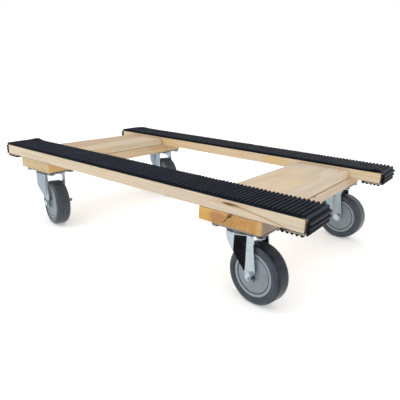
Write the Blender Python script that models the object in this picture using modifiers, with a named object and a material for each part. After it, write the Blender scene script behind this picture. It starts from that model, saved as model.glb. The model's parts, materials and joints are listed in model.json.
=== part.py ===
"""Hardwood furniture dolly with two rubber-capped rails on four swivel casters.

Units are metres and +Z is up.  The origin is on the floor under the middle of the
dolly.  +X runs along the rails, and the rails lie side by side along Y.
"""
from math import cos, pi, radians, sin, sqrt

import bmesh
import bpy
from mathutils import Matrix, Vector

# --- wooden frame ---------------------------------------------------------
FRAME_LENGTH = 0.762          # rails, end to end
FRAME_WIDTH = 0.4572          # outer face to outer face of the rails
GAP = 0.0003                  # between pieces that touch
WOOD_TOP = 0.1694             # top of the rails above the floor
RAIL_WIDTH = 0.079
RAIL_THICK = 0.0212
BOLSTER_THICK = 0.0223
BOARD_THICK = 0.0163
BOARD_WIDTH = 0.1185
WOOD_EDGE = 0.0012            # eased arrises
FRONT_BOLSTER = (0.2000, 0.3172)
REAR_BOLSTER = (-0.3245, -0.2189)

# --- rubber pads ----------------------------------------------------------
PAD_BASE = 0.0025             # sheet under the ribs
RIB_HEIGHT = 0.0031
RIB_PITCH = 0.0075
RIB_TIP = 0.0014              # flat on top of each rib
PAD_UNDER = 0.0400            # length tucked under each rail end
PAD_STANDOFF = 0.0026         # slack between the pad and the rail's end grain

# --- casters --------------------------------------------------------------
CASTER_Y = 0.1925             # kingpins either side of the middle line
FRONT_KINGPIN = 0.2705
REAR_KINGPIN = -0.2650
TRAIL = 0.0317                # axle behind the kingpin
REST_SWIVEL = {"front_near": -9.4, "rear_near": -15.8, "front_far": -5.9, "rear_far": -18.6}
WHEEL_RADIUS = 0.0508
TREAD_WIDTH = 0.0322
TREAD_SHOULDER = 0.0070
HUB_RADIUS = 0.0368
HUB_HALF = 0.0147             # from the wheel's middle to the hub's outer ring
BOSS_HALF = 0.0174
BOSS_RADIUS = 0.0105
PLATE = (0.094, 0.067, 0.0028)
PLATE_CORNER = 0.006
PLATE_BOLTS = (0.082, 0.052)  # spacing along and across the plate
STEEL = 0.0025                # pressed fork
FORK_TOP = 0.1186
FORK_ROUND = 0.0330           # round crown and skirt about the kingpin
FORK_HALF = 0.0205            # middle of the wheel to a leg's outer face at the axle
FORK_STRIP = 0.0190           # the flat by the axle starts this far behind the kingpin
FORK_BACK = 0.0309            # trailing edge at the crown
FORK_FOOT = 0.0101            # round end of a leg about the axle
FORK_LIP = 0.0068             # depth of the crown's turned-down edge in front
FORK_SHOULDER = 0.0245        # how much lower the edge is where each leg begins
KINGPIN_RADIUS = 0.0052
AXLE_RADIUS = 0.0040
BUSH_RADIUS = 0.0062
BOLT_HEAD = (0.0127, 0.0053)  # across flats, height
NUT_HEIGHT = 0.0066
BOLT_END = 0.0158             # thread standing out of the far leg
LAG_RADIUS = 0.0038
LAG_LENGTH = 0.019
LAG_HEAD = (0.0127, 0.0032)
CLEARANCE = 0.0003

RAIL_BOTTOM = WOOD_TOP - RAIL_THICK
BOLSTER_TOP = RAIL_BOTTOM - GAP
BOLSTER_BOTTOM = BOLSTER_TOP - BOLSTER_THICK
PLATE_TOP = BOLSTER_BOTTOM - GAP
PLATE_BOTTOM = PLATE_TOP - PLATE[2]
RAIL_Y = (FRAME_WIDTH - RAIL_WIDTH) / 2

for old in list(bpy.data.objects):
    bpy.data.objects.remove(old, do_unlink=True)

dolly = bpy.data.collections.new("furniture_dolly")
cutters = bpy.data.collections.new("cutters")
for group in (dolly, cutters):
    bpy.context.scene.collection.children.link(group)


# --- materials ------------------------------------------------------------
def make_material(name, colour, roughness, metallic=0.0):
    material = bpy.data.materials.new(name)
    material.use_nodes = True
    shader = material.node_tree.nodes["Principled BSDF"]
    shader.inputs["Base Color"].default_value = (*colour, 1.0)
    shader.inputs["Roughness"].default_value = roughness
    shader.inputs["Metallic"].default_value = metallic
    material.diffuse_color = (*colour, 1.0)
    return material


RAIL_WOOD = make_material("rail_wood", (0.74, 0.60, 0.42), 0.62)
BOARD_WOOD = make_material("board_wood", (0.72, 0.57, 0.39), 0.62)
BOLSTER_WOOD = make_material("bolster_wood", (0.62, 0.42, 0.22), 0.65)
PAD_RUBBER = make_material("pad_rubber", (0.022, 0.024, 0.028), 0.55)
ZINC = make_material("zinc_plate", (0.62, 0.66, 0.69), 0.28, 1.0)
FASTENER = make_material("fastener_steel", (0.55, 0.56, 0.57), 0.35, 1.0)
HUB_PLASTIC = make_material("hub_plastic", (0.22, 0.26, 0.29), 0.45)
TREAD_RUBBER = make_material("tread_rubber", (0.055, 0.060, 0.066), 0.38)


# --- modelling helpers ----------------------------------------------------
def add(name, data, material, place=None, group=dolly):
    """Link a mesh or curve as a named object at a placement matrix."""
    obj = bpy.data.objects.new(name, data)
    group.objects.link(obj)
    if material and not data.materials:
        data.materials.append(material)
    if place is not None:
        obj.matrix_world = place
    return obj


def at(x=0.0, y=0.0, z=0.0):
    return Matrix.Translation((x, y, z))


def hide_cutter(obj):
    obj.hide_render = True
    obj.display_type = "WIRE"
    return obj


def baked(obj, smooth_angle=40):
    """Evaluate an object to a plain welded mesh, and remove the object."""
    bpy.context.view_layer.update()
    graph = bpy.context.evaluated_depsgraph_get()
    mesh = bpy.data.meshes.new_from_object(obj.evaluated_get(graph), depsgraph=graph)
    mesh.name = obj.name
    work = bmesh.new()
    work.from_mesh(mesh)
    bmesh.ops.remove_doubles(work, verts=work.verts, dist=0.00001)
    work.to_mesh(mesh)
    work.free()
    mesh.shade_smooth()
    mesh.set_sharp_from_angle(angle=radians(smooth_angle))
    bpy.data.objects.remove(obj, do_unlink=True)
    return mesh


def block_mesh(name, size):
    """A box centred on its own origin, already at its real size."""
    mesh = bpy.data.meshes.new(name)
    work = bmesh.new()
    bmesh.ops.create_cube(work, size=1.0, matrix=Matrix.Diagonal((*size, 1.0)))
    work.to_mesh(mesh)
    work.free()
    return mesh


def prism_mesh(name, sides, radius, low, high):
    """An upright prism or cylinder between two heights."""
    mesh = bpy.data.meshes.new(name)
    work = bmesh.new()
    bmesh.ops.create_cone(work, cap_ends=True, segments=sides, radius1=radius, radius2=radius,
                          depth=high - low, matrix=at(z=(low + high) / 2))
    work.to_mesh(mesh)
    work.free()
    return mesh


def turned_mesh(name, profile, steps, closed, smooth_angle=40):
    """Turn (radius, height) points about Z.  The outer side runs from top to bottom."""
    mesh = bpy.data.meshes.new(name + "_profile")
    edges = [(i, i + 1) for i in range(len(profile) - 1)]
    if closed:
        edges.append((len(profile) - 1, 0))
    mesh.from_pydata([(radius, 0.0, height) for radius, height in profile], edges, [])
    obj = add(name, mesh, None)
    screw = obj.modifiers.new("turn", "SCREW")
    screw.axis = "Z"
    screw.angle = 2 * pi
    screw.steps = steps
    screw.render_steps = steps
    screw.use_merge_vertices = True
    screw.merge_threshold = 0.00001
    return baked(obj, smooth_angle)


def flat_outline(name, outlines, thickness):
    """A sheet of the first closed outline, with the others as its holes, lying in XY."""
    curve = bpy.data.curves.new(name, "CURVE")
    curve.dimensions = "2D"
    curve.fill_mode = "BOTH"
    curve.extrude = thickness / 2
    for outline in outlines:
        spline = curve.splines.new("POLY")
        spline.points.add(len(outline) - 1)
        for point, (x, y) in zip(spline.points, outline):
            point.co = (x, y, 0.0, 1.0)
        spline.use_cyclic_u = True
    return curve


def circle(x, y, radius, sides):
    return [(x + radius * cos(2 * pi * i / sides), y + radius * sin(2 * pi * i / sides))
            for i in range(sides)]


def rounded_rectangle(length, width, corner, steps=3):
    points = []
    for quarter, (sx, sy) in enumerate(((1, 1), (-1, 1), (-1, -1), (1, -1))):
        for i in range(steps + 1):
            turn = (quarter + i / steps) * pi / 2
            points.append((sx * (length / 2 - corner) + corner * cos(turn),
                           sy * (width / 2 - corner) + corner * sin(turn)))
    return points


def boolean(obj, cutter, operation):
    modifier = obj.modifiers.new(operation.lower(), "BOOLEAN")
    modifier.operation = operation
    modifier.solver = "EXACT"
    modifier.object = cutter


# --- wood -----------------------------------------------------------------
def wooden_block(name, x_range, y_range, z_range, material):
    centre = [(low + high) / 2 for low, high in (x_range, y_range, z_range)]
    size = [high - low for low, high in (x_range, y_range, z_range)]
    obj = add(name, block_mesh(name, size), material, at(*centre))
    bevel = obj.modifiers.new("eased_edges", "BEVEL")
    bevel.width = WOOD_EDGE
    bevel.segments = 2
    return obj


def lag_positions(kingpin_x, side):
    """Where the four lag screws of one caster stand."""
    along, across = PLATE_BOLTS[0] / 2, PLATE_BOLTS[1] / 2
    return [(kingpin_x + sx * along, side * CASTER_Y + sy * across)
            for sx in (1, -1) for sy in (1, -1)]


def drilled_bolster(name, x_range, kingpin_x):
    """A cross-piece with a blind pilot bore for each lag screw."""
    half = FRAME_WIDTH / 2
    bolster = wooden_block(name, x_range, (-half, half), (BOLSTER_BOTTOM, BOLSTER_TOP), BOLSTER_WOOD)
    bore = prism_mesh("pilot_bore", 10, LAG_RADIUS + CLEARANCE, -0.002, LAG_LENGTH + 0.001)
    for number, (x, y) in enumerate(lag_positions(kingpin_x, -1) + lag_positions(kingpin_x, 1)):
        cutter = add(f"{name}_bore_{number}", bore, None, at(x, y, BOLSTER_BOTTOM), cutters)
        boolean(bolster, hide_cutter(cutter), "DIFFERENCE")
    return bolster


def build_frame():
    half_length, half_width = FRAME_LENGTH / 2, FRAME_WIDTH / 2
    for name, side in (("near_rail", -1), ("far_rail", 1)):
        y_range = sorted((side * half_width, side * (half_width - RAIL_WIDTH)))
        wooden_block(name, (-half_length, half_length), y_range, (RAIL_BOTTOM, WOOD_TOP), RAIL_WOOD)
    board_half = half_width - RAIL_WIDTH - 2 * GAP
    board_z = (RAIL_BOTTOM, RAIL_BOTTOM + BOARD_THICK)
    for name, (_, right) in (("front_deck_board", FRONT_BOLSTER), ("rear_deck_board", REAR_BOLSTER)):
        wooden_block(name, (right - BOARD_WIDTH, right), (-board_half, board_half), board_z, BOARD_WOOD)
    drilled_bolster("front_bolster", FRONT_BOLSTER, FRONT_KINGPIN)
    drilled_bolster("rear_bolster", REAR_BOLSTER, REAR_KINGPIN)


# --- rubber pads ----------------------------------------------------------
def pad_path(offset):
    """Straight and round stretches round one rail, from under its +X end to under its -X end.

    Each stretch is (length, function giving position and outward normal at a distance).
    """
    inner = GAP
    end = FRAME_LENGTH / 2 + PAD_STANDOFF
    corner = 0.0045
    low = RAIL_BOTTOM - inner
    high = WOOD_TOP + inner
    radius = corner + offset
    stretches = []

    def straight(start, stop, normal):
        start, stop = Vector(start), Vector(stop)
        length = (stop - start).length

        def place(distance):
            return start.lerp(stop, distance / length) + offset * Vector(normal), Vector(normal)
        stretches.append((length, place))

    def bend(centre, start_angle, stop_angle):
        length = abs(stop_angle - start_angle) * (corner + PAD_BASE)

        def place(distance):
            turn = start_angle + (stop_angle - start_angle) * distance / length
            normal = Vector((cos(turn), sin(turn)))
            return Vector(centre) + radius * normal, normal
        stretches.append((length, place))

    straight((end - PAD_UNDER, low), (end - corner, low), (0, -1))
    bend((end - corner, low + corner), -pi / 2, 0)
    straight((end, low + corner), (end, high - corner), (1, 0))
    bend((end - corner, high - corner), 0, pi / 2)
    straight((end - corner, high), (-end + corner, high), (0, 1))
    bend((-end + corner, high - corner), pi / 2, pi)
    straight((-end, high - corner), (-end, low + corner), (-1, 0))
    bend((-end + corner, low + corner), pi, 3 * pi / 2)
    straight((-end + corner, low), (-end + PAD_UNDER, low), (0, -1))
    return stretches


def point_at(stretches, distance):
    for length, place in stretches:
        if distance <= length:
            return place(distance)
        distance -= length
    length, place = stretches[-1]
    return place(length)


def pad_outline():
    """Closed side profile of a pad: saw-tooth ribs outside, plain sheet inside."""
    outer = pad_path(PAD_BASE)
    total = sum(length for length, _ in outer)
    ribs = int(total / RIB_PITCH)
    margin = (total - ribs * RIB_PITCH) / 2
    root = (RIB_PITCH - RIB_TIP) / 2
    points = []
    for rib in range(ribs):
        start = margin + rib * RIB_PITCH
        for shift, height in ((0.0, 0.0), (root, RIB_HEIGHT), (root + RIB_TIP, RIB_HEIGHT)):
            place, normal = point_at(outer, start + shift)
            points.append(place + height * normal)
    points.append(point_at(outer, total - margin)[0])
    inner = pad_path(0.0)
    back = []
    for length, place in inner:
        steps = 4 if length < 0.02 else 1
        back += [place(length * i / steps)[0] for i in range(steps + 1)]
    for point in reversed(back):
        if (point - points[-1]).length > 0.0002 and (point - points[0]).length > 0.0002:
            points.append(point)
    return [(point.x, point.y) for point in points]


def build_pads():
    curve = flat_outline("rubber_pad", [pad_outline()], RAIL_WIDTH)
    upright = Matrix.Rotation(pi / 2, 4, "X")
    mesh = baked(add("pad_shape", curve, PAD_RUBBER), 20)
    for name, side in (("near_rubber_pad", -1), ("far_rubber_pad", 1)):
        add(name, mesh, PAD_RUBBER, at(y=side * RAIL_Y) @ upright)


# --- caster pieces, each about its own kingpin ----------------------------
def plate_mesh():
    along, across = PLATE_BOLTS[0] / 2, PLATE_BOLTS[1] / 2
    holes = [circle(sx * along, sy * across, LAG_RADIUS + 0.0006, 10) for sx in (1, -1) for sy in (1, -1)]
    centre_hole = circle(0, 0, KINGPIN_RADIUS + CLEARANCE, 16)
    outline = rounded_rectangle(PLATE[0], PLATE[1], PLATE_CORNER)
    return baked(add("plate_shape", flat_outline("plate", [outline, centre_hole, *holes], PLATE[2]), ZINC))


def race_mesh():
    """Pressed race between plate and fork, with a rolled rim over the ball track."""
    top, low, bore = PLATE_BOTTOM - CLEARANCE, FORK_TOP + CLEARANCE, KINGPIN_RADIUS + CLEARANCE
    profile = [(0.0312, top), (0.0322, top - 0.0010), (0.0322, low + 0.0008), (0.0300, low),
               (bore, low), (bore, top)]
    return turned_mesh("race_shape", profile, 24, closed=True)


def kingpin_mesh():
    """Rivet through plate, race and fork crown, with its set head below the crown."""
    crown_low = FORK_TOP - STEEL - CLEARANCE
    profile = [(0, PLATE_TOP), (KINGPIN_RADIUS, PLATE_TOP), (KINGPIN_RADIUS, crown_low),
               (0.0092, crown_low), (0.0082, crown_low - 0.0018), (0.0045, crown_low - 0.0028),
               (0, crown_low - 0.0030)]
    return turned_mesh("kingpin_shape", profile, 14, closed=False)


def fork_half_stations():
    """One side of the fork from its front to its trailing edge.

    Each station is (crown x, crown y, foot x, foot y, foot z).  In plan the side follows the
    round crown, runs inward to the flat by the axle, and ends at the trailing edge.
    """
    stations = []
    lip_angle, turn_in = radians(44), radians(96)
    for i in range(9):
        turn = turn_in * (i + 0.5) / 8.5
        x, y = -FORK_ROUND * cos(turn), FORK_ROUND * sin(turn)
        low = FORK_TOP - FORK_LIP
        if turn > lip_angle:
            low -= FORK_SHOULDER * ((turn - lip_angle) / (turn_in - lip_angle)) ** 1.25
        stations.append((x, y, x, y, low))
    start_x, start_y, start_z = stations[-1][2:]
    end_z = WHEEL_RADIUS + 0.0035
    for share in (0.35, 0.70, 0.92):
        x = start_x + (FORK_STRIP - start_x) * share
        y = start_y + (FORK_HALF - start_y) * share
        stations.append((x, y, x, y, start_z + (end_z - start_z) * share))
    for i in range(7):
        turn = radians(180 + 30 * i)
        crown_x = FORK_STRIP + 0.0012 + (FORK_BACK - FORK_STRIP - 0.0012) * i / 6
        stations.append((crown_x, FORK_HALF, TRAIL + FORK_FOOT * cos(turn), FORK_HALF,
                         WHEEL_RADIUS + FORK_FOOT * sin(turn)))
    return stations


def fork_mesh():
    """Pressed fork: a round crown with a turned-down edge that grows into two legs."""
    bend = 0.0038
    side = fork_half_stations()
    stations = [(x, -y, fx, -fy, z) for x, y, fx, fy, z in reversed(side)] + side
    rows = []
    for crown_x, crown_y, foot_x, foot_y, foot_z in stations:
        inward = Vector((-crown_x, -crown_y)).normalized()
        if crown_x > 0 and abs(crown_y) <= FORK_HALF + 0.0001:
            inward = Vector((0.0, -1.0 if crown_y > 0 else 1.0))
        low = Vector((foot_x, foot_y, foot_z))
        high = Vector((crown_x, crown_y, FORK_TOP - bend))
        row = [low, high]
        for turn in (pi / 4, pi / 2):
            shift = bend * (1 - cos(turn)) * inward
            row.append(Vector((crown_x + shift.x, crown_y + shift.y, high.z + bend * sin(turn))))
        rows.append(row)
    mesh = bpy.data.meshes.new("fork_shape")
    width = len(rows[0])
    faces = [(i * width + j, (i + 1) * width + j, (i + 1) * width + j + 1, i * width + j + 1)
             for i in range(len(rows) - 1) for j in range(width - 1)]
    rim = [i * width + width - 1 for i in range(len(rows))]
    faces += [(rim[i], rim[i + 1], rim[-2 - i], rim[-1 - i]) for i in range(len(side) - 1)]
    mesh.from_pydata([point for row in rows for point in row], [], faces)
    fork = add("fork", mesh, ZINC)
    shell = fork.modifiers.new("sheet", "SOLIDIFY")
    shell.thickness = STEEL
    shell.offset = 1.0
    shell.use_even_offset = True
    bore = prism_mesh("kingpin_bore", 16, KINGPIN_RADIUS + CLEARANCE, FORK_TOP - 0.01, FORK_TOP + 0.01)
    boolean(fork, hide_cutter(add("kingpin_bore", bore, None, None, cutters)), "DIFFERENCE")
    axle = prism_mesh("axle_bore", 12, AXLE_RADIUS + CLEARANCE, -0.03, 0.03)
    boolean(fork, hide_cutter(add("axle_bore", axle, None, AXLE_PLACE, cutters)), "DIFFERENCE")
    return baked(fork, 25)


def hex_fastener_mesh(name, head, radius, length, sides=12):
    """A hexagon head with its shank: the head below z = 0, the shank above."""
    across, height = head
    body = add(name, prism_mesh(name, 6, across / sqrt(3), -height, 0.0), FASTENER)
    bevel = body.modifiers.new("chamfer", "BEVEL")
    bevel.width = 0.0006
    bevel.segments = 1
    shank = add(name + "_shank", prism_mesh(name + "_shank", sides, radius, -height / 2, length), None)
    boolean(body, shank, "UNION")
    mesh = baked(body, 25)
    bpy.data.objects.remove(shank, do_unlink=True)
    return mesh


def nut_mesh():
    outline = [circle(0, 0, BOLT_HEAD[0] / sqrt(3), 6), circle(0, 0, AXLE_RADIUS + CLEARANCE, 12)]
    return baked(add("nut_shape", flat_outline("nut", outline, NUT_HEIGHT), FASTENER))


def ring_mesh(name, inner, outer, half, steps):
    profile = [(outer, half), (outer, -half), (inner, -half), (inner, half)]
    return turned_mesh(name, profile, steps, closed=True)


def hub_mesh():
    """Wheel centre: boss, dished web, raised ring at the rim.  Mirror-symmetric about z = 0."""
    bore = BUSH_RADIUS + CLEARANCE
    upper = [(bore, BOSS_HALF), (BOSS_RADIUS, BOSS_HALF), (BOSS_RADIUS + 0.0012, HUB_HALF - 0.0020),
             (HUB_RADIUS - 0.0044, HUB_HALF - 0.0020), (HUB_RADIUS - 0.0036, HUB_HALF),
             (HUB_RADIUS, HUB_HALF)]
    profile = upper + [(radius, -height) for radius, height in reversed(upper)]
    return turned_mesh("hub_shape", profile, 30, closed=True)


def tyre_mesh():
    """Moulded tread with a crowned running face and round shoulders."""
    inner = HUB_RADIUS + CLEARANCE
    half = TREAD_WIDTH / 2
    shoulder = [(WHEEL_RADIUS - TREAD_SHOULDER + TREAD_SHOULDER * sin(turn),
                 half - TREAD_SHOULDER + TREAD_SHOULDER * cos(turn))
                for turn in (radians(20), radians(55), radians(90))]
    upper = [(inner, HUB_HALF - 0.0006)] + shoulder
    profile = upper + [(radius, -height) for radius, height in reversed(upper)]
    return turned_mesh("tyre_shape", profile, 32, closed=True, smooth_angle=60)


AXLE_PLACE = at(TRAIL, 0, WHEEL_RADIUS) @ Matrix.Rotation(-pi / 2, 4, "X")


def build_casters():
    lag = hex_fastener_mesh("lag_screw", LAG_HEAD, LAG_RADIUS, LAG_LENGTH + PLATE[2], 10)
    bolt_length = 2 * FORK_HALF + BOLT_END
    middle = (PLATE_TOP + PLATE_BOTTOM) / 2
    pieces = {
        "top_plate": (plate_mesh(), ZINC, at(z=middle)),
        "swivel_race": (race_mesh(), ZINC, at()),
        "kingpin": (kingpin_mesh(), FASTENER, at()),
        "fork": (fork_mesh(), ZINC, at()),
        "axle_bolt": (hex_fastener_mesh("axle_bolt", BOLT_HEAD, AXLE_RADIUS, bolt_length), FASTENER,
                      AXLE_PLACE @ at(z=-FORK_HALF - CLEARANCE)),
        "axle_nut": (nut_mesh(), FASTENER, AXLE_PLACE @ at(z=FORK_HALF + CLEARANCE + NUT_HEIGHT / 2)),
        "axle_bushing": (ring_mesh("bushing", AXLE_RADIUS + CLEARANCE, BUSH_RADIUS,
                                   FORK_HALF - STEEL - CLEARANCE, 14), FASTENER, AXLE_PLACE),
        "wheel_hub": (hub_mesh(), HUB_PLASTIC, AXLE_PLACE),
        "tyre": (tyre_mesh(), TREAD_RUBBER, AXLE_PLACE),
    }
    for end, kingpin_x in (("front", FRONT_KINGPIN), ("rear", REAR_KINGPIN)):
        for side_name, side in (("near", -1), ("far", 1)):
            corner = f"{end}_{side_name}"
            foot = at(kingpin_x, side * CASTER_Y)
            swivel = foot @ Matrix.Rotation(radians(REST_SWIVEL[corner]), 4, "Z")
            for piece, (mesh, material, place) in pieces.items():
                base = foot if piece == "top_plate" else swivel
                add(f"{corner}_{piece}", mesh, material, base @ place)
            for number, (x, y) in enumerate(lag_positions(kingpin_x, side), 1):
                add(f"{corner}_lag_screw_{number}", lag, FASTENER, at(x, y, PLATE_BOTTOM - CLEARANCE))


build_frame()
build_pads()
build_casters()
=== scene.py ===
"""Looks of the furniture dolly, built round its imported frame.

Units are metres and +Z is up.  +X runs along the rails and -Y is the near side.  Wooden pieces,
pads and casters replace the frame's plain solids with detailed meshes of the same size.
"""
import json
from math import atan2, cos, exp, floor, pi, radians, sin

import bpy
from mathutils import Matrix, Vector, noise


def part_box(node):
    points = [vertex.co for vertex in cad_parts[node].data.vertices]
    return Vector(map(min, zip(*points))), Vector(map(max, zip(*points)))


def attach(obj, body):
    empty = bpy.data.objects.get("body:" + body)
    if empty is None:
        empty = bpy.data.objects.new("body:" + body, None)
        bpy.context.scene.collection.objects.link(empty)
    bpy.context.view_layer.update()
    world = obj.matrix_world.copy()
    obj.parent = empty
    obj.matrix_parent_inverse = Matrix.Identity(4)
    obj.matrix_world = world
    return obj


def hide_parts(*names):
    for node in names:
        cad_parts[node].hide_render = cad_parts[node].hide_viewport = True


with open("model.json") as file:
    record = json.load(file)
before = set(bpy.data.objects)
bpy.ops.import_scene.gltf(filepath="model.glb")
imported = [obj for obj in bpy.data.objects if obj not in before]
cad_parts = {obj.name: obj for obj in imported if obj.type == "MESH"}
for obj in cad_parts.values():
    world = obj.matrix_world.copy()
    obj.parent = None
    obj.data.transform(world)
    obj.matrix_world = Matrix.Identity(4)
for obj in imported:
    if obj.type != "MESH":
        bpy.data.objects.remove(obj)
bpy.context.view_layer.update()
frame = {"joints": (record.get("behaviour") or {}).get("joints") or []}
CORNERS = ("front_near", "front_far", "rear_near", "rear_far")

# Sizes that the frame's own solids are built to.
TRAIL = 0.0317
WHEEL_RADIUS = 0.0508
FORK_TOP = 0.1186
FORK_ROUND = 0.0330
FORK_HALF = 0.0205
FORK_STRIP = 0.0190
FORK_BACK = 0.0309
FORK_FOOT = 0.0101
FORK_LIP = 0.0068
FORK_SHOULDER = 0.0245
KINGPIN_HOLE = 0.0058
STEEL = 0.0025
CLEARANCE = 0.0003
HEX_ACROSS = 0.0127
PAD_BASE = 0.0025
RIB_HEIGHT = 0.0031
RIB_PITCH = 0.0075
PAD_UNDER = 0.0400


# --- shader helpers --------------------------------------------------------
class Shade:
    """One material's node tree, with short calls for the nodes used in this file."""

    def __init__(self, name, roughness=0.5, metallic=0.0):
        self.material = bpy.data.materials.new(name)
        self.material.use_nodes = True
        self.tree = self.material.node_tree
        self.shader = self.tree.nodes["Principled BSDF"]
        self.set("Roughness", roughness)
        self.set("Metallic", metallic)
        where = self.tree.nodes.new("ShaderNodeTexCoord")
        self.here = where.outputs["Object"]
        self.facing = where.outputs["Normal"]

    def set(self, name, value):
        """A constant on the shader's own socket."""
        self.shader.inputs[name].default_value = value

    def put(self, socket, value):
        if isinstance(value, bpy.types.NodeSocket):
            self.tree.links.new(value, socket)
        elif value is not None:
            socket.default_value = value

    def node(self, kind, settings, inputs, output=0):
        made = self.tree.nodes.new(kind)
        for key, value in settings.items():
            setattr(made, key, value)
        for key, value in inputs.items():
            self.put(made.inputs[key], value)
        return made.outputs[output]

    def math(self, operation, a, b=0.0, c=0.0):
        return self.node("ShaderNodeMath", {"operation": operation}, {0: a, 1: b, 2: c})

    def times(self, a, b):
        return self.math("MULTIPLY", a, b)

    def minus(self, a, b):
        return self.math("SUBTRACT", a, b)

    def larger(self, a, b):
        return self.math("MAXIMUM", a, b)

    def size(self, value):
        return self.math("ABSOLUTE", value)

    def apart(self, a, b):
        """The distance between two values."""
        return self.size(self.minus(a, b))

    def line(self, value, slope, start):
        """slope * value + start."""
        return self.math("MULTIPLY_ADD", value, slope, start)

    def length(self, a, b):
        """Length of the vector (a, b)."""
        return self.math("SQRT", self.math("ADD", self.times(a, a), self.times(b, b)))

    def vector(self, operation, a, b=(0.0, 0.0, 0.0), output="Vector"):
        return self.node("ShaderNodeVectorMath", {"operation": operation}, {0: a, 1: b}, output)

    def split(self, vector):
        made = self.tree.nodes.new("ShaderNodeSeparateXYZ")
        self.put(made.inputs[0], vector)
        return made.outputs[:3]

    def join(self, x, y, z):
        return self.node("ShaderNodeCombineXYZ", {}, {0: x, 1: y, 2: z})

    def noise_at(self, where, detail=4.0, rough=0.55):
        return self.node("ShaderNodeTexNoise", {},
                         {"Vector": where, "Scale": 1.0, "Detail": detail, "Roughness": rough})

    def noise(self, scale, offset=(0.0, 0.0, 0.0), detail=4.0, rough=0.55):
        """Noise over the piece's own coordinates, scaled and shifted."""
        where = self.vector("ADD", self.vector("MULTIPLY", self.here, scale), offset)
        return self.noise_at(where, detail, rough)

    def ramp(self, value, low, high, start=0.0, stop=1.0):
        """value taken smoothly from low..high to start..stop."""
        return self.node("ShaderNodeMapRange", {"interpolation_type": "SMOOTHSTEP", "clamp": True},
                         {"Value": value, "From Min": low, "From Max": high,
                          "To Min": start, "To Max": stop})

    def mix(self, share, a, b, blend="MIX"):
        made = self.tree.nodes.new("ShaderNodeMix")
        made.data_type = "RGBA"
        made.blend_type = blend
        made.clamp_factor = True
        self.put(made.inputs[0], share)
        self.put(made.inputs[6], (*a, 1.0) if isinstance(a, tuple) else a)
        self.put(made.inputs[7], (*b, 1.0) if isinstance(b, tuple) else b)
        return made.outputs[2]

    def paint(self, colour, tone, share, strength):
        """A colour with a tone laid over it, as strong as the share times the strength."""
        return self.mix(self.times(share, strength), colour, tone)

    def spot(self, centre, reach, wobble, soft):
        """1 inside an ellipsoid, falling to 0 outside it; wobble shifts its edge."""
        offset = self.vector("DIVIDE", self.vector("SUBTRACT", self.here, centre), reach)
        distance = self.math("ADD", self.vector("LENGTH", offset, output="Value"), wobble)
        return self.ramp(distance, 1.0 - soft, 1.0 + soft, 1.0, 0.0)

    def paint_spots(self, colour, wobble, spots):
        """Paint a table of (centre, reach, softness, strength, tone)."""
        for centre, reach, soft, strength, tone in spots:
            colour = self.paint(colour, tone, self.spot(centre, reach, wobble, soft), strength)
        return colour

    def finish(self, colour, roughness=None, bump=None, depth=0.0002, strength=1.0):
        self.put(self.shader.inputs["Base Color"], colour)
        self.put(self.shader.inputs["Roughness"], roughness)
        if bump is not None:
            normal = self.node("ShaderNodeBump", {}, {"Height": bump, "Distance": depth,
                                                      "Strength": strength})
            self.put(self.shader.inputs["Normal"], normal)
        return self.material


# --- materials -------------------------------------------------------------
WARM_TINT = (1.05, 0.965, 0.80)
COOL_TINT = (0.94, 0.955, 1.00)


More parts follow.
